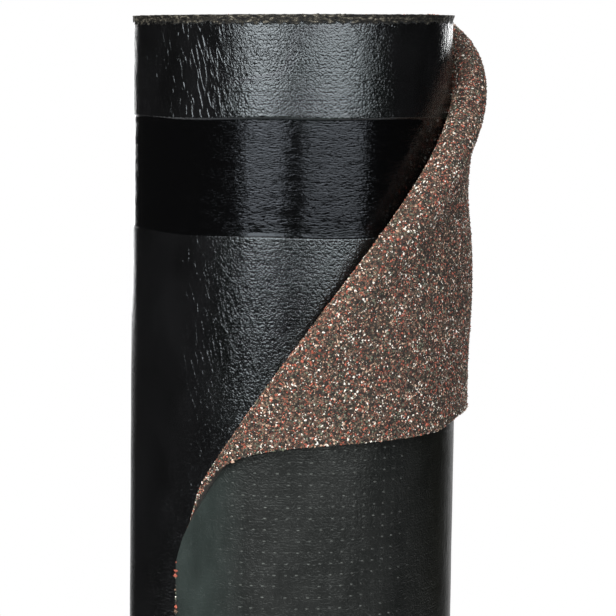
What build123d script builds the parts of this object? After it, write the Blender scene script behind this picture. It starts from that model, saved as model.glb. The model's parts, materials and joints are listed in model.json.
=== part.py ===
from build123d import *
from math import cos, degrees, exp, floor, hypot, pi, radians, sin, sqrt
import os

# A roll of roofing felt standing on its end, with the outer corner of the sheet peeled back.
# Sizes are in millimetres and degrees. Angles run round the roll from its front, the -Y side,
# towards +X, and depths run down from the top rim.

# the sheet and how it is wound
roll_height = 1000.0      # width of the sheet
sheet_length = 5000.0
sheet_thickness = 5.0
winding_gap = 0.2         # mean air gap between two turns
bore_radius = 41.5

# the spiral line between the turns, seen on both ends
turn_line_width = 0.8
turn_line_depth = 1.5
inner_margin = 3.0        # solid ring left between the last turn line and the bore

# the peeled corner: the fold climbs from the free edge round the back to the rim
free_edge_angle = -39.4
fold_foot_depth = 304.0   # depth of the fold at the free edge
fold_rim_angle = 146.0    # where the fold reaches the rim
fold_power = 1.75         # how quickly the fold flattens as it climbs
curl_radius_foot = 3.5    # mid-sheet radius of the curl at the free edge
curl_radius_full = 7.7
curl_growth_angle = 90.0  # angle round the roll in which the curl reaches its full radius
settle_length = 16.3      # height below the curl in which the flap comes back to the roll
flap_gap = 4.0            # air between the flap and the turn under it
flap_edge_lift = 68.0     # height of the flap's lower edge over the foot of the fold
flap_edge_dip = 14.0      # extra depth of that edge next to the free edge
flap_dip_angle = 12.0
flap_edge_rise = 6.0      # how far the lower edge rises on the right side
flap_rise_start = 50.0
flap_rise_end = 70.0
flap_side_angle = 118.0   # the flap's upright side edge, at the rim
flap_side_lean = 5.0      # how much further forward that edge is at the flap's corner

# how the peeled corner is set into the turn it grows from
root_inset = 0.3          # the buried root thins down by this much on each face
root_length = 22.0
root_start_angle = 0.5    # the peeled sheet starts this far round from the free edge
seam_depth = 6.0          # the plain turn ends this far below the fold
seam_angle = 1.0          # and this far round before the fold reaches the rim
side_clearance = 0.8      # air between the flap and the bottom of the cut that ends its side

# the slices of the peeled corner
section_count = 36
section_crowding = 0.6    # 0 spaces the slices evenly, 1 crowds them towards the free edge
curl_lead = 4.0           # the strips of the curl start this far before it
curl_strips = 9
curl_share = 0.75         # the curl's largest share of the lifted sheet, beside the free edge
settle_strips = 4
settle_share = 0.8        # the settling stretch's largest share of the hanging sheet

# derived sizes
winding_pitch = sheet_thickness + winding_gap
outer_radius = sqrt(bore_radius**2 + sheet_length * winding_pitch / pi)
quarter_step = winding_pitch / 4
full_turn = degrees(2 * pi)
quarter = full_turn / 4
fold_span = fold_rim_angle - free_edge_angle
flap_edge_depth = fold_foot_depth - flap_edge_lift
edge_share = (flap_edge_depth + flap_edge_dip) / fold_foot_depth
curl_in_angle = fold_span * (1 - edge_share ** (1 / fold_power))   # the edge is turned right over here
clear = 10.0              # how far a cutting shape reaches past a face that it cuts
cut_reach = 30.0          # how far cutting shapes reach in and out from the roll's surface


def heading(angle):
    """Direction away from the axis at an angle round the roll."""
    return Vector(sin(radians(angle)), -cos(radians(angle)), 0)


def smooth(share):
    share = min(max(share, 0.0), 1.0)
    return share * share * (3 - 2 * share)


def winding_centres():
    """The four arc centres of the spiral, on a square about the axis."""
    ends = [heading(free_edge_angle + quarter * k) for k in range(1, 4)]
    first = (ends[0] + ends[1]) * (-quarter_step / 2)
    centres = [first]
    for end in ends:
        centres.append(centres[-1] + end * quarter_step)
    return centres


centres = winding_centres()


def winding_arcs(first, last):
    """Arcs of the sheet's outer face from one wound angle to another, counted from the free edge."""
    arcs, start = [], first
    while start < last - 1e-6:
        number = floor(start / quarter + 1e-9)
        end = min(last, quarter * (number + 1))
        radius = outer_radius - number * quarter_step
        begin = free_edge_angle - quarter + start
        arcs.append(CenterArc(centres[number % 4], radius, begin, end - start))
        start = end
    return arcs


def winding_radius(wound):
    """Distance from the axis to the sheet's outer face at a wound angle."""
    number = floor(wound / quarter)
    centre = centres[number % 4]
    along = centre.dot(heading(free_edge_angle + wound))
    radius = outer_radius - number * quarter_step
    return along + sqrt(radius**2 - centre.length**2 + along**2)


def closed_face(edges):
    """A flat face from a chain of arcs whose open ends are joined by a straight line."""
    return Face(Wire(edges + [Line(edges[-1] @ 1, edges[0] @ 0)]))


def wound_roll():
    """All the turns as one solid, with the step at the free edge and the bore."""
    outline = closed_face(winding_arcs(0, full_turn))
    bore = Face(Wire(CenterArc((0, 0), bore_radius, 0, full_turn)))
    return extrude(outline - bore, roll_height, dir=(0, 0, 1))


def turn_line():
    """The spiral between the turns, a V cut into both ends, one quarter turn after the other."""
    turns = (outer_radius - bore_radius - inner_margin) / winding_pitch
    pieces = []
    for number in range(4, floor(4 * turns)):
        centre = centres[number % 4]
        away = heading(free_edge_angle + quarter * number)
        line = centre + away * (outer_radius - number * quarter_step)
        for level, inward in ((0, 1), (roll_height, -1)):
            tip = line + Vector(0, 0, level + inward * turn_line_depth)
            mouth = line + Vector(0, 0, level - inward * turn_line_depth)
            side = away * turn_line_width
            profile = Face(Wire(Polyline(tip, mouth - side, mouth + side, close=True)))
            pieces += revolve(profile, axis=Axis(centre, (0, 0, 1)), revolution_arc=quarter).solids()
    return pieces


def fold_depth(angle):
    """Depth of the fold line, from its foot at the free edge up to the rim."""
    return fold_foot_depth * (1 - (angle - free_edge_angle) / fold_span) ** fold_power


def fold_stretch(angle):
    """Height of a slice through the slanted curl, over the same slice taken square to it."""
    left = 1 - (angle - free_edge_angle) / fold_span
    slope = fold_foot_depth * fold_power * left ** (fold_power - 1) / fold_span
    return hypot(1, slope / (radians(1) * outer_radius))


def curl_radius(angle):
    grown = smooth((angle - free_edge_angle) / curl_growth_angle)
    return curl_radius_foot + (curl_radius_full - curl_radius_foot) * grown


def flap_depth(angle):
    """Depth of the flap's lower edge."""
    turned_over = free_edge_angle + curl_in_angle
    dip = flap_edge_dip * exp(-(angle - turned_over) / flap_dip_angle)
    rise = flap_edge_rise * smooth((angle - flap_rise_start) / (flap_rise_end - flap_rise_start))
    return flap_edge_depth + dip - rise


def sheet_faces(angle, path, inset=0.0):
    """Granule and film face of the peeled sheet, a path's length on from the foot of its curl."""
    radius, stretch = curl_radius(angle), fold_stretch(angle)
    wall = winding_radius(angle - free_edge_angle)
    middle = wall - winding_pitch / 2
    settled = wall + flap_gap + sheet_thickness / 2
    bend = min(max(path, 0.0) / radius, pi)
    drop = max(path - pi * radius, 0.0)
    half = sheet_thickness / 2 - inset
    across = middle + radius * (1 - cos(bend))
    across -= smooth(drop / settle_length) * (middle + 2 * radius - settled)
    along = min(path, 0.0) + radius * sin(bend) - drop
    faces = []
    for side in (half, -half):
        depth = fold_depth(angle) - (along + side * sin(bend)) * stretch
        faces.append(heading(angle) * (across - side * cos(bend)) + Vector(0, 0, roll_height - depth))
    return faces


def sheet_reach(angle):
    """Length of the sheet past the foot of its curl: first the part of the curl, then the flap too."""
    turned = min((angle - free_edge_angle) / curl_in_angle, 1.0)
    hanging = max(flap_depth(angle) - fold_depth(angle), 0.0) / fold_stretch(angle)
    arc = pi * curl_radius(angle) * turned
    return arc, arc + (hanging if turned == 1.0 else 0.0)


def strip_marks(angle):
    """Lengths along the peeled sheet at which one strip ends and the next begins."""
    arc, reach = sheet_reach(angle)
    curl_end = min(arc, curl_share * reach)
    settle = min(settle_length, settle_share * (reach - curl_end))
    lead = curl_lead + curl_end
    marks = [lead * number / curl_strips - curl_lead for number in range(curl_strips + 1)]
    marks += [curl_end + settle * (number + 1) / settle_strips for number in range(settle_strips)]
    return marks + [reach]


def peeled_section(angle):
    """Outline of the peeled sheet in an upright slice: root, curl and hanging flap."""
    marks = strip_marks(angle)
    root = sheet_faces(angle, -root_length, root_inset)
    ends = [sheet_faces(angle, mark) for mark in marks]
    middles = [sheet_faces(angle, (first + last) / 2) for first, last in zip(marks, marks[1:])]

    edges = [Line(root[1], root[0])]
    for side, order in ((0, 1), (1, -1)):
        strips = [Line(root[side], ends[0][side])]
        for first, middle, last in zip(ends, middles, ends[1:]):
            strips.append(Edge.make_spline([first[side], middle[side], last[side]], parameters=[0, 0.5, 1]))
        edges += strips[::order]
        if side == 0:
            edges.append(Line(ends[-1][0], ends[-1][1]))
    return Wire(edges)


def section_angles(first, last):
    """Angles of the slices, closer together near the free edge."""
    shares = [number / (section_count - 1) for number in range(section_count)]
    return [first + (last - first) * (share + section_crowding * (share**2 - share)) for share in shares]


def beside_flap():
    """The space past the flap's upright side edge, outside the turn under it."""
    lean = radians(flap_side_lean) * outer_radius / flap_edge_depth
    away = heading(flap_side_angle)
    past = heading(flap_side_angle + quarter)
    side = Plane(origin=away * outer_radius + Vector(0, 0, roll_height),
                 x_dir=away, z_dir=past + Vector(0, 0, -lean))
    block = side * Box(outer_radius, 2 * roll_height, outer_radius,
                       align=(Align.CENTER, Align.CENTER, Align.MIN))
    wall = winding_radius(flap_side_angle - free_edge_angle)
    return block - Cylinder(wall + flap_gap - side_clearance, 3 * roll_height)


def placed(angle, points):
    return [heading(angle) * radius + Vector(0, 0, roll_height - depth) for radius, depth in points]


def peeled_corner():
    """The corner of the sheet, lifted off the roll, curled over the fold and hanging as a flap."""
    angles = section_angles(free_edge_angle + root_start_angle, fold_rim_angle)
    corner = Solid.make_loft([peeled_section(angle) for angle in angles])
    above = Cylinder(2 * outer_radius, roll_height, align=(Align.CENTER, Align.CENTER, Align.MIN))
    return corner - above.moved(Location((0, 0, roll_height))) - beside_flap()


def bared_region():
    """The space above the fold that the peeled corner has left open."""
    bared_span = fold_span - seam_angle
    inner = winding_arcs(full_turn, full_turn + bared_span)
    near_side = heading(free_edge_angle) * cut_reach
    far_side = heading(free_edge_angle + bared_span) * cut_reach
    opposite = heading(free_edge_angle + bared_span / 2) * (outer_radius + cut_reach)
    foot, head = inner[0] @ 0, inner[-1] @ 1
    outside = ThreePointArc(head + far_side, opposite, foot + near_side)
    sector = Face(Wire(inner + [Line(head, head + far_side), outside, Line(foot + near_side, foot)]))
    column = extrude(sector, roll_height + clear, dir=(0, 0, 1))

    walls = []
    for angle in section_angles(free_edge_angle - seam_angle, fold_rim_angle):
        depth = fold_depth(angle) + seam_depth * fold_stretch(angle)
        near, far = outer_radius - cut_reach, outer_radius + 2 * cut_reach
        corners = placed(angle, [(near, depth), (far, depth), (far, -2 * clear), (near, -2 * clear)])
        walls.append(Wire(Polyline(*corners, close=True)))
    return column & Solid.make_loft(walls)


def felt_roll():
    return wound_roll() - bared_region() - turn_line() + peeled_corner()


os.makedirs("parts", exist_ok=True)
export_step(felt_roll(), "parts/felt_roll.step")
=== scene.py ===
import bmesh
import bpy
import numpy as np
from math import pi, radians, sqrt
from mathutils import Matrix, Vector
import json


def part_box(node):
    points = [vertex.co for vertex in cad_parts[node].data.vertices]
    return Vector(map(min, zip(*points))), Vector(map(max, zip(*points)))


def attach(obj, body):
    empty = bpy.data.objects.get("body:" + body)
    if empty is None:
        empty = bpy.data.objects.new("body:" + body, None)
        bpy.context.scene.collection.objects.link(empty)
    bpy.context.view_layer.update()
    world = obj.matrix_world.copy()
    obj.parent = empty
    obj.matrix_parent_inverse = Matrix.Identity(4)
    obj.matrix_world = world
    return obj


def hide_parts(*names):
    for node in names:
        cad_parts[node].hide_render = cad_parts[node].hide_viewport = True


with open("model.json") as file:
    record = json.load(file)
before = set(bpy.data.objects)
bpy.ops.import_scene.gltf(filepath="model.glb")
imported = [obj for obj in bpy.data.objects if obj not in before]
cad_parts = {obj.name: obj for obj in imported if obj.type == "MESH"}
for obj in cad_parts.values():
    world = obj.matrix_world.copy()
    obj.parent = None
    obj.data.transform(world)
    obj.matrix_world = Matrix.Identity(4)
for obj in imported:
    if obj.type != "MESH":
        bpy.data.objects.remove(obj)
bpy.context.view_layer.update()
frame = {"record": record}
MM = 0.001
random = np.random.default_rng(7)

# A roll of roofing felt on its end, with the outer corner of the sheet peeled back. Lengths are in metres
# and angles in degrees. Angles run round the roll from its front, -Y, towards +X, and wound angles run
# along the sheet, inwards from its free edge. Depths run down from the rim.

# The roll and its peeled corner, with the sizes of the solid. The solid's first arc starts an eighth of a
# pitch further out than its mean spiral.
low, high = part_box("felt_roll")
roll_height = high.z - low.z
bore_radius = next(m for m in frame["record"]["mounts"] if m["name"] == "bore")["dims"]["r_mm"] * MM
sheet_length = 5.0
sheet_thickness = 5.0 * MM
winding_pitch = 5.2 * MM
outer_radius = sqrt(bore_radius**2 + sheet_length * winding_pitch / pi) + winding_pitch / 8
sheet_end = 360 * (outer_radius - bore_radius - sheet_thickness) / winding_pitch
free_edge_angle = -39.4
fold_foot_depth = 304 * MM       # depth of the fold at the free edge
fold_rim_angle = 146.0           # where the fold reaches the rim
fold_power = 1.75                # how quickly the fold flattens as it climbs
curl_radius_foot = 3.5 * MM      # mid-sheet radius of the curl at the free edge
curl_radius_full = 7.7 * MM
curl_growth_angle = 90.0
edge_drop = 3.0 * MM             # the sheet stops this far short of its curl at the free edge
settle_length = 16.3 * MM        # height below the curl in which the flap comes back to the roll
flap_gap = 4.0 * MM
flap_edge_depth = fold_foot_depth - 68 * MM
flap_edge_dip = 14 * MM          # extra depth of the flap's lower edge next to the free edge
flap_dip_angle = 12.0
flap_rise_start = 50.0
flap_rise_end = 70.0
flap_side_angle = 118.0          # the flap's upright side edge, at the rim
flap_side_lean = 5.0             # how much further forward that edge is at the flap's corner
fold_span = fold_rim_angle - free_edge_angle
edge_share = (flap_edge_depth + flap_edge_dip) / fold_foot_depth
curl_in_angle = fold_span * (1 - edge_share ** (1 / fold_power))

# The flap's right side: how far its lower edge rises, and how much closer it hangs than in the solid
flap_edge_rise = 4.5 * MM
press_start = 35.0               # it comes closer from this angle on,
press_growth = 25.0              # and is there this much further round
waist_press = 3.5 * MM           # closest round one depth,
waist_depth = 101 * MM
waist_reach = 28 * MM
skirt_press = 1.7 * MM           # and a little closer from another depth down
skirt_depth = 160 * MM
skirt_reach = 50 * MM
lip_fade = 3.0                   # angle past the side edge in which the flap narrows to a lip
foot_inset = 1.0 * MM            # the curl is meshed from this far below where it starts
free_edge_proud = 0.6 * MM       # how far the free edge stands off its turn
free_edge_reach = 4.0 * MM

# The film's relief
rim_height = 5.0 * MM            # the rough strip along the rim
rim_flare = 1.0 * MM
rim_tilt = 0.0130                # the rim is that much higher towards +X, for each metre across
rim_tilt_reach = roll_height / 8
rim_roughness = 0.16 * MM
rim_rough_reach = 4.0 * MM
band_top = 57.5 * MM             # depth of the smooth glossy strip
band_bottom = 124.5 * MM
band_recess = 0.8 * MM
band_step = 1.2 * MM             # width of the step at the strip's edges
band_wander = ((0.6 * MM, 23.0, 1.0), (0.35 * MM, 71.0, 0.0))    # sines along it: height, rate, start
crease_depths = (41 * MM, 151 * MM, 186 * MM)
crease_height = 0.12 * MM
crease_width = 0.7 * MM
relief_fade = 12.0 * MM          # the film's relief fades out over this height below the fold

# The inner turns
turn_step = 3.0                  # angle between two columns of points
end_margin = 6.0 * MM            # height of the uneven part of the ends
end_inset = 0.35 * MM            # how far the ends' corners are rounded
end_roughness = 0.12 * MM
end_drop = 0.75 * MM             # the inner turns stand this much lower than the rim on average
end_waves = ((0.35 * MM, 0.31), (0.3 * MM, 1.7))                 # sines along the sheet: height, rate

# The stones
granule_size = 1.4 * MM
stone_half_widths = (0.36, 0.62)                # from least to most, as shares of the granule size
stone_variety = (0.8, 0.9, 1, 1.1, 1.6)         # factors, so that one stone in five is large
stone_rise = 0.25                # height of a stone's middle over the sheet, as a share of its half width
stone_flatness = 0.6             # its half height, as a share of its half width
bore_stones_depth = 60 * MM      # the bore is covered with stones down to here
patch_strength = 0.06            # how far the mix of stones drifts from place to place

# The film's looks
emboss_pitch = 6.4 * MM
emboss_radius = 0.85 * MM
outer_look_end = 0.26            # arc length from the free edge in which the film is dull and embossed
outer_look_fade = 0.06
bump_height = 0.3 * MM
film_ior = 1.7

# The materials of a piece of sheet
FILM, GRANULES, EDGE = range(3)


def smooth(share):
    """Eases from 0 to 1."""
    share = np.clip(share, 0.0, 1.0)
    return share * share * (3 - 2 * share)


def heading(angle):
    """The level direction that an angle points in."""
    angle = np.radians(angle)
    return np.stack([np.sin(angle), -np.cos(angle), np.zeros_like(angle)], axis=-1)


def wound_radius(wound):
    """Radius of the sheet's film face at a wound angle."""
    return outer_radius - winding_pitch * wound / 360


def arc_length(wound):
    return np.radians(wound) * outer_radius


def place(angle, radius, height):
    """Points at an angle round the roll, a distance from its axis and a height."""
    points = heading(angle) * np.asarray(radius)[..., None]
    points[..., 2] = height
    return points


def fold_depth(angle):
    return fold_foot_depth * np.clip(1 - (angle - free_edge_angle) / fold_span, 0, 1) ** fold_power


def fold_stretch(angle):
    """Upright distance from the slanted fold to a point, over the distance square to the fold."""
    left = np.clip(1 - (angle - free_edge_angle) / fold_span, 0, 1)
    slope = fold_foot_depth * fold_power * left ** (fold_power - 1) / fold_span
    return np.hypot(1, slope / (radians(1) * outer_radius))


def curl_radius(angle):
    return curl_radius_foot + (curl_radius_full - curl_radius_foot) * smooth(
        (angle - free_edge_angle) / curl_growth_angle)


def flap_depth(angle):
    """Depth of the flap's lower edge."""
    turned_over = free_edge_angle + curl_in_angle
    dip = flap_edge_dip * np.exp(-(angle - turned_over) / flap_dip_angle)
    return flap_edge_depth + dip - flap_edge_rise * smooth(
        (angle - flap_rise_start) / (flap_rise_end - flap_rise_start))


def peeled_length(angle):
    """Length of sheet past the foot of its curl, in a slice taken square to the fold."""
    turned = np.minimum((angle - free_edge_angle) / curl_in_angle, 1.0)
    hanging = np.maximum(flap_depth(angle) - fold_depth(angle), 0.0) / fold_stretch(angle)
    curl = pi * curl_radius(angle)
    whole = curl * turned - edge_drop * (1 - turned) ** 6 + np.where(turned < 1, 0, hanging)
    # the rim's own edge ends the flap on its far side, and runs up and over to where the fold meets it
    past_corner = np.clip((angle - flap_side_angle + flap_side_lean) / flap_side_lean, 0, 1)
    side = curl + (1 - past_corner) * hanging
    lip = fold_depth(angle) / fold_stretch(angle)
    lip = lip + (curl - lip) * np.exp(-np.maximum(angle - flap_side_angle, 0) / lip_fade)
    return np.where(angle > flap_side_angle, np.minimum(lip, curl), np.minimum(whole, side))


def pressed(angle, depth):
    """How much closer to the roll than the solid's flap the dressed flap hangs."""
    waist = waist_press * np.exp(-((depth - waist_depth) / waist_reach) ** 2)
    skirt = skirt_press * smooth((depth - skirt_depth) / skirt_reach)
    return (waist + skirt) * smooth((angle - press_start) / press_growth)


def lift(angle, path):
    """A place on the lifted sheet: its radius and height, and the direction of its film face."""
    radius, stretch = curl_radius(angle), fold_stretch(angle)
    wall = wound_radius(angle - free_edge_angle)
    middle = wall - winding_pitch / 2
    bend = np.clip(path / radius, 0, pi)
    drop = np.maximum(path - pi * radius, 0)
    along = np.minimum(path, 0) + radius * np.sin(bend) - drop
    height = roll_height - fold_depth(angle) + along * stretch
    settled = wall + flap_gap + sheet_thickness / 2 - pressed(angle, roll_height - height)
    across = middle + radius * (1 - np.cos(bend)) - smooth(drop / settle_length) * (
        middle + 2 * radius - settled)
    return across, height, np.cos(bend), np.sin(bend) * stretch


def add_object(name, data):
    item = bpy.data.objects.new(name, data)
    bpy.context.scene.collection.objects.link(item)
    return item


def new_piece(name, points, faces, uvs=None, materials=(), marks=None, is_smooth=True):
    """A piece of the felt, with its material marks by face."""
    mesh = bpy.data.meshes.new(name)
    mesh.from_pydata(points.tolist(), [], [list(face) for face in faces])
    if uvs is not None:
        layer = mesh.uv_layers.new(name="UVMap")
        corners = np.zeros(len(mesh.loops), dtype=np.int32)
        mesh.loops.foreach_get("vertex_index", corners)
        layer.data.foreach_set("uv", uvs[corners].astype(np.float32).ravel())
    for material in materials:
        mesh.materials.append(material)
    if marks is not None:
        mesh.polygons.foreach_set("material_index", np.array(marks, dtype=np.int32))
    mesh.polygons.foreach_set("use_smooth", np.full(len(faces), is_smooth))
    mesh.update()
    item = add_object(name, mesh)
    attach(item, "root")
    return item


def weld(work):
    """Joins points that lie in the same place."""
    bmesh.ops.remove_doubles(work, verts=work.verts, dist=1e-6)


def close_ends(work):
    """Fills what is left open with one face each."""
    bmesh.ops.holes_fill(work, edges=[e for e in work.edges if len(e.link_faces) == 1], sides=0)


def repair_mesh(item, repair, crease_angle=180.0):
    """Repairs a piece's mesh, turns its faces outwards and shades it sharp past a crease angle."""
    work = bmesh.new()
    work.from_mesh(item.data)
    repair(work)
    bmesh.ops.recalc_face_normals(work, faces=work.faces)
    for edge in work.edges:
        if len(edge.link_faces) == 2 and edge.calc_face_angle() > radians(crease_angle):
            edge.smooth = False
    work.to_mesh(item.data)
    work.free()


def grid_faces(columns, rows, first, flip=False):
    i, j = np.meshgrid(np.arange(columns - 1), np.arange(rows - 1), indexing="ij")
    a = first + i * rows + j
    quads = np.stack([a, a + rows, a + rows + 1, a + 1], axis=-1).reshape(-1, 4)
    return quads[:, ::-1] if flip else quads


def sheet_piece(name, film, granules, film_uv, granule_uv):
    """A closed sheet between two grids of points with the same columns, with its edges as strips."""
    blocks, uvs, faces, marks = [], [], [], []

    def add(grid, uv, mark, flip=False):
        first = sum(len(b) for b in blocks)
        blocks.append(grid.reshape(-1, 3))
        uvs.append(uv.reshape(-1, 2))
        quads = grid_faces(grid.shape[0], grid.shape[1], first, flip)
        faces.extend(quads.tolist())
        marks.extend([mark] * len(quads))
        return first

    film_first = add(film, film_uv, FILM)
    granule_first = add(granules, granule_uv, GRANULES, True)
    share = np.linspace(0, 1, 4)[:, None, None]
    for row in (0, -1):
        strip = film[:, row] * (1 - share) + granules[:, row] * share
        uv = film_uv[:, row] + np.array([0, 1]) * share * sheet_thickness
        add(strip, uv, EDGE, flip=row == 0)
    rows, granule_rows = film.shape[1], granules.shape[1]
    for column in (0, film.shape[0] - 1):
        ring = [film_first + column * rows + k for k in range(rows)]
        ring += [granule_first + column * granule_rows + k for k in reversed(range(granule_rows))]
        faces.append(ring if column else ring[::-1])
        marks.append(EDGE)
    item = new_piece(name, np.concatenate(blocks), faces, np.concatenate(uvs), sheet_materials, marks)
    repair_mesh(item, weld, crease_angle=50.0)
    return item


def tilt_rim(points):
    """The rim's slight tilt, fading out below it."""
    fading = smooth((points[..., 2] - roll_height) / rim_tilt_reach + 1)
    points[..., 2] += rim_tilt * points[..., 0] * fading
    return points


def relief(wound, height):
    """Waves and creases of the film, the recess of its glossy strip and the flare of its rim on the right."""
    u = arc_length(wound)
    depth = roll_height - height
    slow = 0.07 * MM * np.sin(u * 95 + 3 * np.sin(height * 9)) * np.sin(height * 31 + u * 12)
    quick = 0.05 * MM * np.sin(height * 143 + 2 * np.sin(u * 40)) * np.sin(u * 61 + 1.7)
    wander = sum(high * np.sin(rate * u + start) for high, rate, start in band_wander)
    band = smooth((depth - band_top - wander) / band_step)
    band = band * smooth((band_bottom - depth + wander) / band_step)
    to_the_right = np.cos(np.radians(free_edge_angle + wound - 90))
    flare = smooth((rim_height - depth) / rim_height) ** 2 * smooth((to_the_right + 0.2) / 1.2)
    creases = sum(np.exp(-((depth - at) / crease_width) ** 2) * smooth(np.sin(u * 17 + at * 90) + 0.4)
                  for at in crease_depths)
    return ((slow + quick) * (1 - 0.7 * band) + crease_height * creases
            - band_recess * band + rim_flare * flare)


def second_turn():
    """The sheet behind the peeled corner: round the back in the first turn, then bared in front."""
    overlap = 6.0
    wound = np.linspace(fold_span, 360 + fold_span + overlap, 300)
    # runs of rows: the depths of the first and last, and how many; close together at the strip's edges
    # and along the rim
    runs = ((roll_height, band_bottom + 3 * MM, 110), (band_bottom + 2 * MM, band_bottom - 2 * MM, 9),
            (band_bottom - 4 * MM, band_top + 4 * MM, 40), (band_top + 2 * MM, band_top - 2 * MM, 9),
            (band_top - 4 * MM, 13 * MM, 40), (12 * MM, 0, 16))
    rows = roll_height - np.concatenate([np.linspace(*run) for run in runs])
    height = np.broadcast_to(rows, (len(wound), len(rows)))
    wide = np.broadcast_to(wound[:, None], height.shape)
    angle = free_edge_angle + wide
    at_rim = smooth((height - roll_height + rim_rough_reach) / rim_rough_reach)
    uneven = random.normal(0, rim_roughness, height.shape) * at_rim
    film = place(angle, wound_radius(wide) + relief(wide, height) + uneven, height + 0.5 * uneven)
    ends = height[:, [0, -1]]
    granules = place(angle[:, :2], wound_radius(wide[:, :2]) - sheet_thickness, ends)
    arc = arc_length(wide)
    return sheet_piece("second_turn", tilt_rim(film), tilt_rim(granules), np.stack([arc, height], -1),
                       np.stack([arc[:, :2], ends], -1))


def peeled_turn():
    """The outermost turn from its free edge to where the fold meets the rim, its corner lifted off.

    Also returns the grids that the stones lie on: the flap, its edge and the upright free edge."""
    flap_corner = flap_side_angle - flap_side_lean - free_edge_angle
    wound = np.concatenate([np.linspace(0, curl_in_angle, 56)[:-1],
                            np.linspace(curl_in_angle, flap_corner, 118)[:-1],
                            np.linspace(flap_corner, fold_span, 40)])
    angle = free_edge_angle + wound
    length = peeled_length(angle)
    foot = -edge_drop - foot_inset
    foot_height = (roll_height - fold_depth(angle) + foot * fold_stretch(angle))[:, None]
    wide = angle[:, None]
    arc = arc_length(wound)[:, None]
    proud = free_edge_proud * np.exp(-arc / free_edge_reach) - (winding_pitch - sheet_thickness) / 2

    def walled(inset, count, crowding):
        """The part that still lies on the roll, its rows closer together towards the fold."""
        share = 1 - (1 - np.linspace(0, 1, count)) ** crowding
        height = foot_height * share
        turned = np.broadcast_to(wound[:, None], height.shape)
        radius = wound_radius(turned) + proud - inset
        if inset == 0:
            radius = radius + relief(turned, height) * smooth((foot_height - height) / relief_fade)
        return place(turned + free_edge_angle, radius, height), height

    def lifted(side, count):
        """The curl and the flap, their rows closer together towards the fold."""
        share = np.linspace(0, 1, count + 1)[1:]
        path = foot + (length - foot)[:, None] * (0.35 * share + 0.65 * share**1.8)
        across, height, outward, upward = lift(wide, path)
        points = place(np.broadcast_to(wide, across.shape), across + side * outward, height - side * upward)
        return points, foot_height + (path - foot) * fold_stretch(wide)

    def face(side, inset, wall_count, crowding, lifted_count):
        wall, wall_height = walled(inset, wall_count, crowding)
        loose, loose_height = lifted(side * sheet_thickness / 2, lifted_count)
        height = np.concatenate([wall_height, loose_height], axis=1)
        return (np.concatenate([wall, loose], axis=1),
                np.stack([np.broadcast_to(arc, height.shape), height], axis=-1))

    film_wall_rows, granule_wall_rows = 170, 3
    film, film_uv = face(1, 0, film_wall_rows, 1.35, 26)
    granules, granule_uv = face(-1, sheet_thickness, granule_wall_rows, 3.0, 104)
    item = sheet_piece("outer_turn", film, granules, film_uv, granule_uv)
    share = np.linspace(0.35, 1.0, 4)[:, None]
    lip = film[:, -1:] * (1 - share) + granules[:, -1:] * share
    return item, granules[:, granule_wall_rows - 1:], lip[:, ::-1], film[:2, 40:film_wall_rows]


def inner_turns():
    """The rest of the wound sheet, each turn a little higher or lower than the last.

    Returns the grid of the granule side's upper edge, for the stones."""
    overlap = 2.0
    wound = np.arange(360 + fold_span + overlap, sheet_end, turn_step)
    shift = sum(high * np.sin(np.radians(wound) * rate) for high, rate in end_waves) - end_drop
    inner = -sheet_thickness
    # the sheet's section: offset from the film face, height, and the material from there to the next
    section = [(0, end_margin, FILM), (0, roll_height - end_margin, FILM), (0, roll_height - end_inset, EDGE),
               (-end_inset, roll_height, EDGE), (0.35 * inner, roll_height + 0.2 * MM, EDGE),
               (0.7 * inner, roll_height, GRANULES), (inner + end_inset, roll_height - end_inset, GRANULES),
               (inner, roll_height - 3 * end_inset, GRANULES), (inner, roll_height - end_margin, GRANULES),
               (inner, end_margin, GRANULES), (inner, 3 * end_inset, GRANULES),
               (inner + end_inset, end_inset, EDGE), (0.5 * inner, 0, EDGE), (-end_inset, end_inset, FILM)]
    granule_rim = slice(5, 8)
    offset, height, row_marks = (np.array(values) for values in zip(*section))
    columns, rows = len(wound), len(section)
    at_ends = (height > 0.9 * roll_height) | (height < end_margin / 2)
    rough = random.normal(0, end_roughness, (columns, rows)) * at_ends
    radius = wound_radius(wound)[:, None] + offset
    angle = np.broadcast_to((free_edge_angle + wound)[:, None], radius.shape)
    raised = height + rough + np.where(height > roll_height / 2, shift[:, None], 0)
    grid = tilt_rim(place(angle, radius, np.maximum(raised, 0)))
    i, j = np.meshgrid(np.arange(columns - 1), np.arange(rows), indexing="ij")
    k = (j + 1) % rows
    faces = np.stack([i * rows + j, (i + 1) * rows + j, (i + 1) * rows + k, i * rows + k], -1).reshape(-1, 4)
    uv = np.stack([np.broadcast_to(arc_length(wound)[:, None], radius.shape),
                   np.broadcast_to(height, radius.shape) - offset], -1).reshape(-1, 2)
    item = new_piece("inner_turns", grid.reshape(-1, 3), faces, uv, sheet_materials, row_marks[j].reshape(-1))
    repair_mesh(item, close_ends)
    return grid[:, granule_rim]


def bore_wall():
    """The innermost turn's granule side, near the top end."""
    columns, rows = 90, 12
    height = roll_height - np.linspace(0.5 * MM, bore_stones_depth, rows)
    wound = np.linspace(0, 360, columns)
    angle = np.broadcast_to((free_edge_angle + wound)[::-1, None], (columns, rows))
    last_angle = free_edge_angle + sheet_end
    turned = last_angle - np.mod(last_angle - angle, 360)
    radius = wound_radius(turned - free_edge_angle) - sheet_thickness
    return tilt_rim(place(angle, radius, np.broadcast_to(height, angle.shape)))


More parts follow.
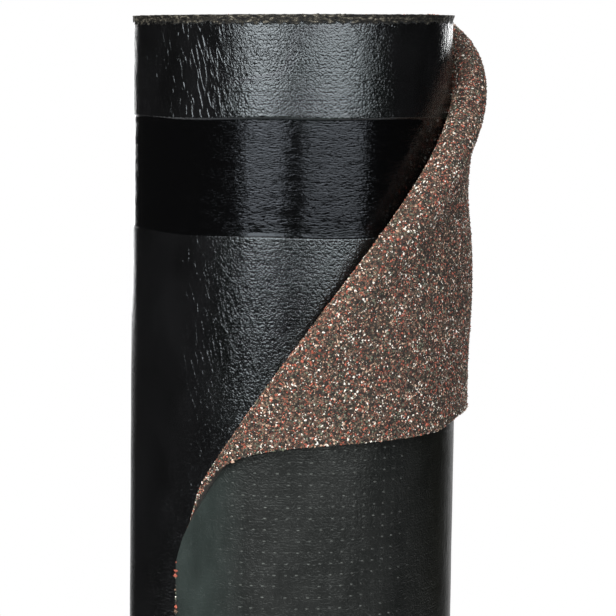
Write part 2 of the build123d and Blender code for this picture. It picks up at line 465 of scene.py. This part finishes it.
def granule_corners(grid, count):
    """Six corners for each of many low stones, pressed into a grid of points."""
    a, b, c = grid[:-1, :-1], grid[1:, :-1], grid[:-1, 1:]
    normal = np.cross(b - a, c - a)
    area = np.linalg.norm(normal, axis=-1)
    chosen = random.choice(area.size, count, p=(area / area.sum()).ravel())
    column, row = np.unravel_index(chosen, area.shape)
    s, t = random.random((2, count, 1))
    spot = a[column, row] + s * (b - a)[column, row] + t * (c - a)[column, row]
    up = (normal / np.maximum(area, 1e-12)[..., None])[column, row]
    side = np.cross(up, random.normal(size=(count, 3)))
    side /= np.linalg.norm(side, axis=1, keepdims=True)
    other = np.cross(up, side)
    size = granule_size * random.uniform(*stone_half_widths, (count, 1))
    size = size * random.choice(stone_variety, (count, 1))
    corners = []
    for axis, sign, squash in ((side, 1, 1), (other, 1, 0.85), (side, -1, 1), (other, -1, 0.85),
                               (up, 1, stone_flatness), (up, -1, stone_flatness)):
        reach = size * squash * random.uniform(0.72, 1.25, (count, 1))
        wander = random.normal(0, 0.16, (count, 3)) * size
        corners.append(spot + axis * sign * reach + wander + up * size * stone_rise)
    return np.stack(corners, axis=1)


def granule_pieces(corners, tones):
    """All the stones as one piece for each tone."""
    shape = np.array([[0, 1, 4], [1, 2, 4], [2, 3, 4], [3, 0, 4], [1, 0, 5], [2, 1, 5], [3, 2, 5], [0, 3, 5]])
    weights = np.array([weight for _, weight in tones], float)
    x, y, z = corners.mean(axis=1).T
    patches = np.sin(210 * x + 2 * np.sin(130 * z)) * np.sin(190 * z + 2 * np.sin(170 * y))
    share = np.clip(random.random(len(corners)) + patch_strength * patches, 0, 0.9999)
    kind = np.searchsorted(np.cumsum(weights / weights.sum()), share)
    for number, (material, _) in enumerate(tones):
        mine = corners[kind == number]
        faces = (np.arange(len(mine))[:, None, None] * 6 + shape).reshape(-1, 3)
        new_piece(f"granules_{number + 1}", mine.reshape(-1, 3), faces, materials=[material], is_smooth=False)


def nodes_of(name):
    material = bpy.data.materials.new(name)
    material.use_nodes = True
    tree = material.node_tree
    return material, tree, tree.nodes["Principled BSDF"]


def add_node(tree, kind, inputs=None, **settings):
    """A shader node, with each input linked to a socket or set to a value."""
    node = tree.nodes.new(kind)
    for key, value in settings.items():
        setattr(node, key, value)
    for key, value in (inputs or {}).items():
        if isinstance(value, bpy.types.NodeSocket):
            tree.links.new(value, node.inputs[key])
        else:
            node.inputs[key].default_value = value
    return node


def math_node(tree, operation, a, b=0.0, c=0.0):
    return add_node(tree, "ShaderNodeMath", {0: a, 1: b, 2: c}, operation=operation).outputs[0]


def ramp(tree, value, stops):
    node = add_node(tree, "ShaderNodeValToRGB", {0: value})
    elements = node.color_ramp.elements
    while len(elements) < len(stops):
        elements.new(0.5)
    for element, (position, colour) in zip(elements, stops):
        element.position = position
        element.color = (*colour, 1)
    return node.outputs[0]


def smooth_step(tree, value, first, last, low=0.0, high=1.0):
    return add_node(tree, "ShaderNodeMapRange", {0: value, 1: first, 2: last, 3: low, 4: high},
                    interpolation_type="SMOOTHSTEP").outputs[0]


class SheetNodes:
    """Nodes laid out along the sheet: by arc length from the free edge, and by height or depth."""

    def __init__(self, tree):
        self.tree = tree
        coordinates = add_node(tree, "ShaderNodeTexCoord").outputs["UV"]
        split = add_node(tree, "ShaderNodeSeparateXYZ", {0: coordinates})
        self.along, self.height = split.outputs[0], split.outputs[1]
        self.depth = self.calc("SUBTRACT", roll_height, self.height)

    def calc(self, operation, a, b=0.0, c=0.0):
        return math_node(self.tree, operation, a, b, c)

    def product(self, first, *others):
        for other in others:
            first = self.calc("MULTIPLY", first, other)
        return first

    def scaled(self, value, factor, offset):
        return self.calc("MULTIPLY_ADD", value, factor, offset)

    def step(self, value, first, last):
        return smooth_step(self.tree, value, first, last)

    def between(self, value, rising, falling):
        """From 0 to 1 over one pair of values, and back to 0 over another."""
        return self.product(self.step(value, *rising), self.step(value, *falling))

    def streaks(self, along_rate, height_rate, lean=0.0, detail=3.0, roughness=0.55):
        """Noise with its own number of features to the metre each way."""
        x = self.scaled(self.height, lean, self.product(self.along, along_rate))
        y = self.product(self.height, height_rate)
        vector = add_node(self.tree, "ShaderNodeCombineXYZ", {0: x, 1: y}).outputs[0]
        return add_node(self.tree, "ShaderNodeTexNoise", {"Vector": vector, "Scale": 1.0, "Detail": detail,
                                                          "Roughness": roughness}).outputs["Fac"]

    def ridges(self, value, sharpness):
        """Thin crests where a noise crosses its middle."""
        off = self.calc("ABSOLUTE", self.calc("SUBTRACT", value, 0.5))
        return self.calc("POWER", self.calc("MAXIMUM", self.scaled(off, -4.0, 1.0), 0.0), sharpness)

    def blend(self, amount, first, second, blend_type="MIX"):
        return add_node(self.tree, "ShaderNodeMix", {0: amount, 6: first, 7: second}, data_type="RGBA",
                        blend_type=blend_type).outputs[2]


def film_areas(sheet):
    """Where the film is a glossy strip, where it is the dull outer face, and where it is the rough rim."""
    wandered = sheet.depth
    for high, rate, start in band_wander:
        wave = sheet.calc("SINE", sheet.scaled(sheet.along, rate, start))
        wandered = sheet.scaled(wave, -high, wandered)
    band = sheet.between(wandered, (band_top, band_top + 0.8 * MM), (band_bottom, band_bottom - 0.8 * MM))
    outer = sheet.step(sheet.along, outer_look_end + outer_look_fade, outer_look_end)
    ragged = sheet.scaled(sheet.streaks(260, 160), 7 * MM, sheet.depth)
    rim = sheet.step(ragged, rim_height + 4.0 * MM, rim_height + 2.2 * MM)
    return band, outer, rim


def upright_wrinkles(sheet, outer):
    """Wrinkles up the sheet: strong in three places, slight here and there, and faint on the outer face."""
    # arc lengths over which a place starts and ends, the depths over which it does, and its strength
    places = (((0.565, 0.585), (0.672, 0.640), (0.062, 0.056), 1.0),
              ((0.622, 0.634), (0.664, 0.645), (0.118, 0.130), 0.45),
              ((0.80, 0.83), (0.93, 0.87), None, 0.5))
    strength = sheet.product(sheet.step(sheet.streaks(14, 9), 0.50, 0.66), 0.3)
    for start, end, depths, amount in places:
        area = sheet.between(sheet.along, start, end)
        if depths:
            area = sheet.product(area, sheet.step(sheet.depth, *depths))
        strength = sheet.calc("MAXIMUM", strength, sheet.product(area, amount))
    strong = sheet.product(sheet.ridges(sheet.streaks(210, 42, 60, 1), 2.6), strength)
    faint = sheet.product(sheet.ridges(sheet.streaks(330, 110, 40, 1), 2.0), outer)
    broken = sheet.step(sheet.streaks(240, 70, 0, 1), 0.36, 0.50)
    return sheet.product(sheet.scaled(faint, 0.15, strong), broken)


def emboss_dots(sheet, outer):
    """Level dashes of rough dots over the outer face, in wavy rows and columns, worn away in places."""
    leaning = sheet.scaled(sheet.height, -0.02, sheet.along)
    columns = sheet.scaled(sheet.streaks(60, 60, 0, 2), 1.0 * MM, leaning)
    rows = sheet.scaled(sheet.streaks(75, 75, 40, 2), 0.9 * MM, sheet.height)
    square = 0.0
    for value, shape in ((columns, 0.55), (rows, 2.4)):
        share = sheet.calc("FRACT", sheet.calc("DIVIDE", value, emboss_pitch))
        off = sheet.product(sheet.calc("SUBTRACT", share, 0.5), emboss_pitch)
        square = sheet.scaled(sheet.product(off, off), shape, square)
    dot = sheet.calc("MAXIMUM", sheet.scaled(square, -1 / emboss_radius**2, 1.0), 0.0)
    return sheet.product(dot, outer, sheet.step(sheet.streaks(150, 150, 0, 2), 0.40, 0.62),
                         sheet.between(sheet.along, (0.020, 0.055), (0.16, 0.115)))


def film_surface(sheet, band, outer, rim, dot):
    """The height of the film's skin, as shares of the bump's height."""
    crinkle = sheet.ridges(sheet.streaks(450, 450, 60, 1.8, 0.5), 1.3)
    grain = sheet.streaks(1100, 1100, 0, 1)
    fine = sheet.scaled(grain, 0.06, sheet.product(crinkle, 0.38))
    fine = sheet.product(fine, sheet.scaled(band, -0.88, 1.0), sheet.scaled(outer, -0.1, 1.0))
    level = sheet.product(sheet.ridges(sheet.streaks(150, 640, 0, 2), 2.4),
                          sheet.step(sheet.streaks(70, 160, 0, 2), 0.25, 0.62))
    level_strength = sheet.calc("ADD", sheet.product(outer, 0.14), sheet.scaled(band, 0.24, 0.08))
    surface = sheet.scaled(upright_wrinkles(sheet, outer), sheet.scaled(band, -1.5, 1.5), fine)
    surface = sheet.scaled(level, level_strength, surface)
    surface = sheet.scaled(dot, 1.6, surface)
    return sheet.scaled(sheet.product(rim, sheet.streaks(800, 800, 0, 4)), 3.0, surface)


def film_colour(sheet, band, outer, rim, dot, patch):
    """Black film, greyer and then olive over the outer face, with dusty stone showing at the rim; painted
    lighter next to the free edge and on the emboss dots, as painted highlights.
    """
    black = ramp(sheet.tree, patch, [(0.35, (0.0028, 0.0028, 0.0029)), (0.7, (0.006, 0.006, 0.0064))])
    dull = ramp(sheet.tree, sheet.streaks(60, 25, 0, 5), [
        (0.3, (0.009, 0.0098, 0.0095)), (0.7, (0.018, 0.0190, 0.0185))])
    olive = sheet.blend(sheet.step(sheet.along, 0.13, 0.24), (1.0, 1.0, 1.0, 1), (0.95, 0.88, 0.42, 1))
    # painted highlight: the film is painted lighter next to the free edge, where the curled sheet faces the
    # lamps; further on this is the real olive tint
    olive_and_edge_light = sheet.blend(sheet.step(sheet.along, 0.050, 0.018), olive, (1.6, 2.0, 1.9, 1))
    dull = sheet.blend(1.0, dull, olive_and_edge_light, "MULTIPLY")
    # painted highlight: besides their real bump, the emboss dots are painted a lighter grey, standing in for
    # the sheen they catch
    dull = sheet.blend(sheet.product(dot, 0.5), dull, (0.22, 0.24, 0.22, 1))
    colour = sheet.blend(outer, black, dull)
    colour = sheet.blend(band, colour, (0.0015, 0.0015, 0.0016, 1))
    rough_rim = ramp(sheet.tree, sheet.streaks(260, 620, 0, 5, 0.7), [
        (0.43, (0.003, 0.003, 0.003)), (0.53, (0.020, 0.018, 0.013)),
        (0.60, (0.11, 0.10, 0.075)), (0.70, (0.32, 0.30, 0.25))])
    return sheet.blend(rim, colour, rough_rim)


def film():
    """Thin film melted over bitumen: a crinkled satin skin, with a glossy strip and a rough rim."""
    material, tree, shader = nodes_of("film")
    sheet = SheetNodes(tree)
    band, outer, rim = film_areas(sheet)
    dot = emboss_dots(sheet, outer)
    patch = sheet.streaks(35, 20, 0, 4)
    roughness = sheet.scaled(patch, 0.08, 0.14)
    for area, change in ((outer, 0.13), (band, -0.05), (rim, 0.45)):
        roughness = sheet.scaled(area, change, roughness)
    shine = sheet.blend(outer, (0.86, 0.95, 1.0, 1), (0.35, 0.375, 0.36, 1))
    shine = sheet.blend(band, shine, (0.29, 0.32, 0.36, 1))
    shine = sheet.blend(rim, shine, (0.3, 0.3, 0.3, 1))
    bump = add_node(tree, "ShaderNodeBump", {"Strength": 1.0, "Distance": bump_height,
                                             "Height": film_surface(sheet, band, outer, rim, dot)})
    tree.links.new(film_colour(sheet, band, outer, rim, dot, patch), shader.inputs["Base Color"])
    tree.links.new(roughness, shader.inputs["Roughness"])
    tree.links.new(bump.outputs[0], shader.inputs["Normal"])
    tree.links.new(shine, shader.inputs["Specular Tint"])
    shader.inputs["IOR"].default_value = film_ior
    return material


def bitumen_bed():
    """The bitumen that holds the granules, nearly hidden by them."""
    material, tree, shader = nodes_of("granule_bed")
    coordinates = add_node(tree, "ShaderNodeTexCoord").outputs["Object"]
    cells = add_node(tree, "ShaderNodeTexVoronoi", {"Vector": coordinates, "Scale": 1000.0})
    tone = add_node(tree, "ShaderNodeSeparateColor", {0: cells.outputs["Color"]}).outputs[0]
    colour = ramp(tree, tone, [(0.0, (0.008, 0.006, 0.005)), (0.45, (0.032, 0.020, 0.014)),
                               (0.7, (0.045, 0.042, 0.026)), (0.85, (0.11, 0.032, 0.020)),
                               (1.0, (0.20, 0.15, 0.11))])
    domes = math_node(tree, "SUBTRACT", 1.0, cells.outputs["Distance"])
    bump = add_node(tree, "ShaderNodeBump", {"Strength": 0.8, "Distance": 0.6 * MM, "Height": domes})
    tree.links.new(colour, shader.inputs["Base Color"])
    tree.links.new(bump.outputs[0], shader.inputs["Normal"])
    shader.inputs["Roughness"].default_value = 0.85
    return material


def cut_edge():
    """The sheet's edge: dusty bitumen with torn specks of stone."""
    material, tree, shader = nodes_of("cut_edge")
    coordinates = add_node(tree, "ShaderNodeTexCoord").outputs["UV"]
    speck = add_node(tree, "ShaderNodeTexNoise", {"Vector": coordinates, "Scale": 900.0, "Detail": 5.0,
                                                  "Roughness": 0.7}).outputs["Fac"]
    colour = ramp(tree, speck, [(0.3, (0.003, 0.003, 0.003)), (0.55, (0.016, 0.013, 0.011)),
                                (0.72, (0.12, 0.09, 0.065))])
    bump = add_node(tree, "ShaderNodeBump", {"Strength": 0.9, "Distance": 0.6 * MM, "Height": speck})
    tree.links.new(colour, shader.inputs["Base Color"])
    tree.links.new(bump.outputs[0], shader.inputs["Normal"])
    shader.inputs["Roughness"].default_value = 0.75
    return material


def stone(name, dark, light):
    material, tree, shader = nodes_of(name)
    coordinates = add_node(tree, "ShaderNodeTexCoord").outputs["Object"]
    tone = add_node(tree, "ShaderNodeTexNoise", {"Vector": coordinates, "Scale": 700.0, "Detail": 2.0})
    colour = ramp(tree, tone.outputs["Fac"], [(0.35, dark), (0.65, light)])
    tree.links.new(colour, shader.inputs["Base Color"])
    shader.inputs["Roughness"].default_value = 0.65
    return material


sheet_materials = [film(), bitumen_bed(), cut_edge()]
stone_tones = [(stone("stone_black", (0.007, 0.006, 0.005), (0.034, 0.027, 0.021)), 24),
               (stone("stone_brown", (0.090, 0.052, 0.032), (0.21, 0.125, 0.078)), 25),
               (stone("stone_green", (0.085, 0.098, 0.066), (0.20, 0.22, 0.15)), 16),
               (stone("stone_red", (0.27, 0.052, 0.030), (0.54, 0.14, 0.080)), 18),
               (stone("stone_pink", (0.46, 0.29, 0.19), (0.72, 0.51, 0.38)), 10),
               (stone("stone_pale", (0.80, 0.75, 0.64), (0.98, 0.96, 0.90)), 9)]

second_turn()
outer_turn, flap_grid, lip_grid, free_edge_grid = peeled_turn()
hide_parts("felt_roll")
rim_grid = inner_turns()
stone_counts = ((flap_grid, 56000), (lip_grid, 3500), (free_edge_grid, 420), (bore_wall(), 8000),
                (rim_grid, 5000))
granule_pieces(np.concatenate([granule_corners(grid, count) for grid, count in stone_counts]), stone_tones)

# The studio: a white backdrop behind the roll, which reflections see only in a wedge, and a dark room in
# front of it
backdrop_way = (0.09, 0.996, 0.0)
backdrop_range = {1: 0.87, 2: 0.97, 3: 0.012, 4: 1.0}    # cosines at its edge, and its glow out and in
world_diffuse = 0.25
floor_reach = 12.0
white = (1, 1, 1, 1)


def area_light(name, azimuth, height, distance, width, tall, radiance, aim, diffuse=True, glossy=True):
    """A soft box; its radiance is what a mirror would show, where 1 is white."""
    lamp = bpy.data.lights.new(name, "AREA")
    lamp.shape = "RECTANGLE"
    lamp.size, lamp.size_y = width, tall
    lamp.energy = radiance * pi * width * tall
    item = add_object(name, lamp)
    item.location = Vector(heading(np.array(float(azimuth)))) * distance + Vector((0, 0, height))
    item.rotation_euler = (Vector((0, 0, aim)) - item.location).to_track_quat("-Z", "Y").to_euler()
    item.visible_camera, item.visible_diffuse, item.visible_glossy = False, diffuse, glossy


def facing_backdrop(tree, way, interpolation):
    """How much of the backdrop's glow reflections see in a direction."""
    cosine = add_node(tree, "ShaderNodeVectorMath", {0: way, 1: backdrop_way}, operation="DOT_PRODUCT")
    return add_node(tree, "ShaderNodeMapRange", {0: cosine.outputs["Value"], **backdrop_range},
                    interpolation_type=interpolation).outputs[0]


def floor_paint():
    """Pale paint that goes over into plain white away from the roll."""
    material, tree, shader = nodes_of("floor_paint")
    shader.inputs["Base Color"].default_value = (0.86, 0.86, 0.86, 1)
    shader.inputs["Roughness"].default_value = 0.7
    spot = add_node(tree, "ShaderNodeTexCoord").outputs["Object"]
    distance = add_node(tree, "ShaderNodeVectorMath", {0: spot}, operation="LENGTH").outputs["Value"]
    way = add_node(tree, "ShaderNodeVectorMath", {0: spot}, operation="NORMALIZE").outputs["Vector"]
    far = smooth_step(tree, distance, 0.5, 1.6)
    near = smooth_step(tree, distance, 1.7, 1.0, 0.0, 0.9)
    glow = math_node(tree, "MAXIMUM", facing_backdrop(tree, way, "LINEAR"), near)
    path = add_node(tree, "ShaderNodeLightPath")
    seen = add_node(tree, "ShaderNodeEmission", {"Color": white, "Strength": 1.0})
    mirrored = add_node(tree, "ShaderNodeEmission", {"Color": white, "Strength": glow})
    plain = add_node(tree, "ShaderNodeMixShader", {
        0: math_node(tree, "MULTIPLY", far, path.outputs["Is Camera Ray"]), 1: shader.outputs[0],
        2: seen.outputs[0]})
    mix = add_node(tree, "ShaderNodeMixShader", {0: path.outputs["Is Glossy Ray"], 1: plain.outputs[0],
                                                 2: mirrored.outputs[0]})
    tree.links.new(mix.outputs[0], tree.nodes["Material Output"].inputs["Surface"])
    return material


def floor():
    mesh = bpy.data.meshes.new("floor")
    corners = [(x * floor_reach, y * floor_reach, 0) for x, y in ((-1, -1), (1, -1), (1, 1), (-1, 1))]
    mesh.from_pydata(corners, [], [(0, 1, 2, 3)])
    mesh.materials.append(floor_paint())
    add_object("floor", mesh)


def sky():
    """White to the camera, the backdrop and the dark room to reflections, and a plain glow to the rest."""
    world = bpy.data.worlds.new("studio")
    bpy.context.scene.world = world
    world.use_nodes = True
    tree = world.node_tree
    background = tree.nodes["Background"]
    path = add_node(tree, "ShaderNodeLightPath")
    way = add_node(tree, "ShaderNodeTexCoord").outputs["Generated"]
    behind = facing_backdrop(tree, way, "SMOOTHSTEP")
    glossy = math_node(tree, "MULTIPLY", path.outputs["Is Glossy Ray"], behind)
    diffuse = math_node(tree, "MULTIPLY", path.outputs["Is Diffuse Ray"], world_diffuse)
    seen = math_node(tree, "MAXIMUM", path.outputs["Is Camera Ray"], path.outputs["Is Transmission Ray"])
    strength = math_node(tree, "ADD", seen, math_node(tree, "ADD", glossy, diffuse))
    tree.links.new(strength, background.inputs["Strength"])
    background.inputs["Color"].default_value = white


def camera():
    """The photograph's viewing angle; the shift is there because the photograph is a crop."""
    frame_px, focal_px, centre_x, centre_y = 616, 2025.6, 292.7, 216.3
    distance, below_rim = 1.21, 0.0137
    pitch, roll = radians(5.0), radians(0.7)
    data = bpy.data.cameras.new("camera")
    data.sensor_width = 36
    data.lens = data.sensor_width * focal_px / frame_px
    data.shift_x = (frame_px / 2 - centre_x) / frame_px
    data.shift_y = (centre_y - frame_px / 2) / frame_px
    item = add_object("camera", data)
    item.location = (0, -distance, roll_height - below_rim)
    item.rotation_euler = (Matrix.Rotation(pi / 2 - pitch, 3, "X") @ Matrix.Rotation(roll, 3, "Z")).to_euler()
    bpy.context.scene.camera = item


def lamps():
    """Tall soft boxes in front, whose reflections are the film's sheen, and narrow ones behind."""
    front = {"height": 1.72, "distance": 2.3, "tall": 1.76, "aim": 1.72}
    rear = {"height": 1.5, "distance": 2.4, "tall": 2.0, "aim": 1.5}
    area_light("key_left", -20, width=1.2, radiance=6.8, **front)
    area_light("sheen_right", 29.5, width=1.76, radiance=5.2, diffuse=False, **front)
    area_light("fill_right", 14, width=1.4, radiance=1.4, glossy=False, **front)
    area_light("fill_left", -45, 1.9, 2.3, 1.5, 1.76, 4.4, 1.4, glossy=False)
    area_light("top", -60, 2.9, 0.7, 1.3, 1.3, 3.0, 0.5)
    area_light("back", 180, width=1.2, radiance=1.6, **rear)
    area_light("back_left", -163, width=0.36, radiance=4.0, **rear)
    area_light("back_right", 156, width=0.5, radiance=3.8, **rear)


floor()
sky()
camera()
lamps()
bpy.context.scene.view_settings.view_transform = "Standard"
